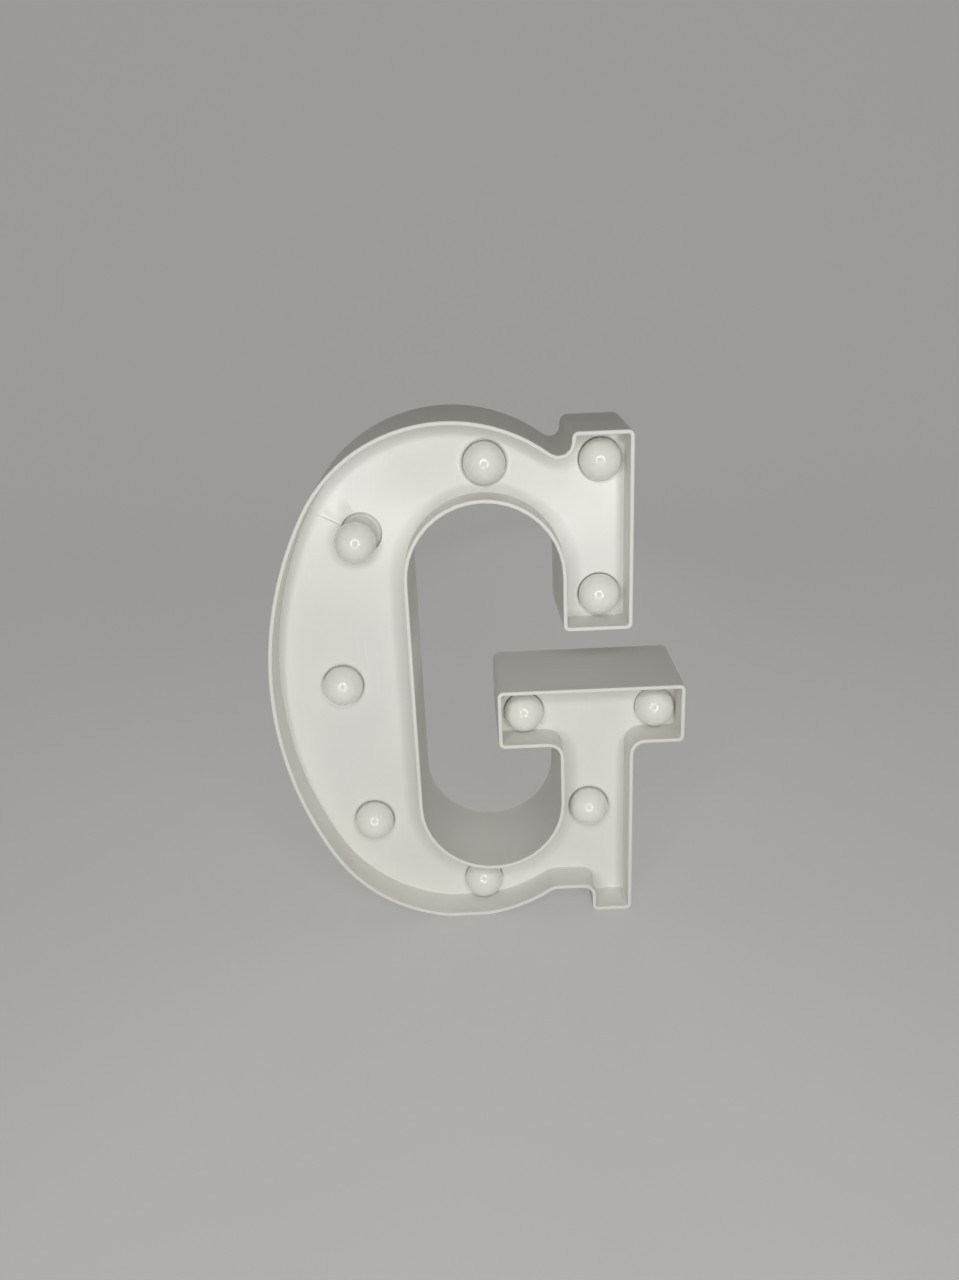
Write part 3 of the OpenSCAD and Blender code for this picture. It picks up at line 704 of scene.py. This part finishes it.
def door_arrow():
    """A small raised arrow on the door, over its grip ribs."""
    width, height, proud = 5 * MM, 3.4 * MM, 0.3 * MM
    sunk, over_low_edge = 0.4 * MM, 18 * MM
    low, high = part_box("battery_door")
    arrow = add_mesh(bpy.ops.mesh.primitive_cylinder_add, vertices=3, radius=1, depth=1)
    arrow.name = "door_arrow"
    middle = Vector(((low.x + high.x) / 2, high.y - sunk, low.z + over_low_edge))
    # The triangle in a circle of radius 1
    triangle_w, triangle_h = math.sqrt(3), 1.5
    for v in arrow.data.vertices:
        across, up, out = v.co.x / triangle_w, -v.co.y / triangle_h, v.co.z
        v.co = middle + Vector((across * width, out * 2 * proud, up * height))
    start_edit(arrow)
    end_edit_outwards()
    round_edges(arrow, SMALL_ROUND)
    smooth_shade(arrow)
    dress(arrow, white)
    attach(arrow, "battery_door")


door_arrow()


# Inside: cells, diodes, wires and springs

def jacketed_cell(node, name):
    """A cell with bright ends and a pale band round its jacket under the nub."""
    nub_h, band_from, band_to, bright = 1.3 * MM, 4 * MM, 14 * MM, 0.2 * MM
    cell = fine_copy(node, name)
    low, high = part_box(node)
    length = high.z - low.z
    middle, radius = (low.x + high.x) / 2, (high.x - low.x) / 2
    can_top = max(v.co.z for v in cell.data.vertices if abs(v.co.x - middle) > 0.9 * radius)
    nub_up = can_top < high.z - 0.5 * MM
    nub_end = high.z if nub_up else low.z
    inwards = -1 if nub_up else 1
    for cut in (band_from, band_to):
        start_edit_all(cell)
        bpy.ops.mesh.bisect(plane_co=(0, 0, nub_end + inwards * cut), plane_no=(0, 0, 1))
        end_edit()
    round_edges(cell, width=0.5 * MM, segments=3, sharp=60)
    smooth_shade(cell, degrees=50)
    dress(cell, jacket, nickel, jacket_band)

    def far_in(at):
        return (at.z - nub_end) * inwards

    paint(cell, 1, lambda at: far_in(at) < nub_h + bright or far_in(at) > length - bright)
    paint(cell, 2, lambda at: band_from < far_in(at) < band_to)
    stand_for(cell, node)


jacketed_cell("cell_left", "battery_left")
jacketed_cell("cell_right", "battery_right")


def diode(lamp):
    """A diode with resin body and tinned legs."""
    node = "led_" + lamp
    piece = fine_copy(node, "diode_" + lamp)
    legs_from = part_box("holder_" + lamp)[1].y + 0.05 * MM
    smooth_shade(piece)
    dress(piece, resin, nickel)
    paint(piece, 1, lambda at: at.y > legs_from)
    stand_for(piece, node)


for lamp in LAMPS:
    diode(lamp)


def round_wire(node, name, sides, thickness):
    """A smooth round copy of a faceted wire, grown back to its thickness, with its ends kept flat."""
    grown_back = 0.9
    wire = fine_copy(node, name)
    mesh = wire.data
    start_edit(wire)
    ends = {key for face in mesh.polygons if len(face.vertices) == sides for key in face.edge_keys}
    pick_edges(wire, lambda e: tuple(sorted(e.vertices)) in ends)
    bpy.ops.transform.edge_crease(value=1)
    end_edit()
    apply_modifier(wire, "SUBSURF", levels=2, render_levels=2)
    # The share by which subdivision draws in a ring of so many sides
    drawn_in = 1 - (4 + 2 * math.cos(2 * math.pi / sides)) / 6
    start_edit_all(wire)
    bpy.ops.transform.shrink_fatten(value=grown_back * drawn_in * thickness / 2)
    end_edit()
    smooth_shade(wire, degrees=60)
    dress(wire, FINISH[slot_of[node]])
    stand_for(wire, node)


for node in ("wire_positive", "wire_negative", "feed_positive", "feed_negative", "battery_lead"):
    round_wire(node, "insulated_" + node, sides=8, thickness=1.3 * MM)
for node in ("negative_spring", "bridge_spring"):
    round_wire(node, "coiled_" + node, sides=6, thickness=0.8 * MM)


# Camera

CAMERA_AT = Vector((0.00229, -0.3901, 0.26352))
CAMERA_ANGLES = (70.3235, 2.3687, -0.714)
CAMERA_TURN = Euler([math.radians(angle) for angle in CAMERA_ANGLES]).to_matrix()
CAMERA_RIGHT, CAMERA_UP, CAMERA_BACK = CAMERA_TURN.col

camera_data = bpy.data.cameras.new("camera")
camera_data.sensor_fit = "VERTICAL"
camera_data.sensor_height = 36
camera_data.lens = 27.03
camera_data.clip_start = 0.01
camera = bpy.data.objects.new("camera", camera_data)
camera.matrix_world = Matrix.Translation(CAMERA_AT) @ CAMERA_TURN.to_4x4()
bpy.context.scene.collection.objects.link(camera)
bpy.context.scene.camera = camera


# Lights: a ring a little under the camera, and soft low beams for the back and the sides

LAMP_COLOUR = (1.0, 0.99, 0.97)

RING_DROP = 0.06
RING_AT = CAMERA_AT - RING_DROP * CAMERA_UP
RING_R = 0.16
RING_COUNT = 24
RING_WATTS = 0.0335
RING_LAMP_D = 0.045
RING_SPREAD = 130

# Place and watts of each beam
BEAMS = {
    "back": ((0.08, 0.75, 0.16), 0.2),
    "left": ((-0.8, 0.06, 0.13), 0.08),
    "right": ((0.8, 0.06, 0.13), 0.08),
}
BEAM_TARGET = (0, 0, 0.11)
BEAM_D = 0.3
BEAM_SPREAD = 60


def area_light(name, at, target, size, watts, spread):
    """A round lamp that shines at a target and isn't seen itself."""
    data = bpy.data.lights.new(name, "AREA")
    data.shape = "DISK"
    data.size = size
    data.energy = watts
    data.color = LAMP_COLOUR
    data.spread = math.radians(spread)
    light = bpy.data.objects.new(name, data)
    light.location = at
    light.rotation_euler = (Vector(target) - Vector(at)).to_track_quat("-Z", "Y").to_euler()
    light.visible_camera = False
    bpy.context.scene.collection.objects.link(light)
    return light


for i in range(RING_COUNT):
    angle = 2 * math.pi * i / RING_COUNT
    at = RING_AT + RING_R * (math.cos(angle) * CAMERA_RIGHT + math.sin(angle) * CAMERA_UP)
    area_light(f"ring_{i}", at, at - CAMERA_BACK, RING_LAMP_D, RING_WATTS, RING_SPREAD)

for name, (at, watts) in BEAMS.items():
    beam = area_light(name, at, BEAM_TARGET, BEAM_D, watts, BEAM_SPREAD)
    beam.visible_glossy = False
    beam.visible_transmission = False


# Floor and room

def seen_directly(tree):
    """1 on rays that come from the camera, a reflection or a clear piece, and 0 on all others."""
    path = tree.nodes.new("ShaderNodeLightPath")
    mirrored = mathop(tree, "MAXIMUM", path.outputs["Is Glossy Ray"], path.outputs["Is Transmission Ray"])
    return mathop(tree, "MAXIMUM", path.outputs["Is Camera Ray"], mirrored)


def pale_backdrop():
    """Pale matt sheet that keeps the object's shadow and looks pale to the camera and in reflections."""
    glow_share = 0.6
    material = bpy.data.materials.new("pale_backdrop")
    tree, out = new_tree(material, "ShaderNodeOutputMaterial")
    matt = tree.nodes.new("ShaderNodeBsdfDiffuse")
    set_inputs(matt, {"Color": (0.6, 0.595, 0.585, 1)})
    glow = tree.nodes.new("ShaderNodeEmission")
    set_inputs(glow, {"Color": (0.5, 0.495, 0.485, 1)})
    mix = tree.nodes.new("ShaderNodeMixShader")
    tree.links.new(mathop(tree, "MULTIPLY", seen_directly(tree), glow_share), mix.inputs["Fac"])
    tree.links.new(matt.outputs["BSDF"], mix.inputs[1])
    tree.links.new(glow.outputs["Emission"], mix.inputs[2])
    tree.links.new(mix.outputs["Shader"], out.inputs["Surface"])
    return material


def studio_floor():
    """A floor that runs up into a wall behind the letter."""
    size, middle_y, wall_h, bend_r, low = 8, -2.8, 4, 0.5, 0.1
    floor = add_mesh(bpy.ops.mesh.primitive_plane_add, size=size, location=(0, middle_y, 0))
    floor.name = "floor"
    corners = floor.data.vertices
    start_edit(floor)
    pick_edges(floor, lambda e: all(corners[v].co.y > 0 for v in e.vertices))
    extrude(0, 0, wall_h)
    pick_edges(floor, lambda e: all(corners[v].co.y > 0 and corners[v].co.z < low for v in e.vertices))
    bpy.ops.mesh.bevel(offset=bend_r, segments=16, affect="EDGES")
    end_edit()
    smooth_shade(floor, degrees=60)
    dress(floor, pale_backdrop())


studio_floor()


def studio_world():
    """A dim warm room that looks as pale as the backdrop."""
    dim, seen = ((1, 0.95, 0.82, 1), 0.11), ((1, 0.99, 0.97, 1), 0.33)
    world = bpy.data.worlds.new("studio")
    tree, out = new_tree(world, "ShaderNodeOutputWorld")
    mix = tree.nodes.new("ShaderNodeMixShader")
    for socket, (colour, strength) in zip(mix.inputs[1:], (dim, seen)):
        sky = tree.nodes.new("ShaderNodeBackground")
        set_inputs(sky, {"Color": colour, "Strength": strength})
        tree.links.new(sky.outputs["Background"], socket)
    tree.links.new(seen_directly(tree), mix.inputs["Fac"])
    tree.links.new(mix.outputs["Shader"], out.inputs["Surface"])
    bpy.context.scene.world = world


studio_world()

bpy.context.scene.view_settings.view_transform = "Standard"
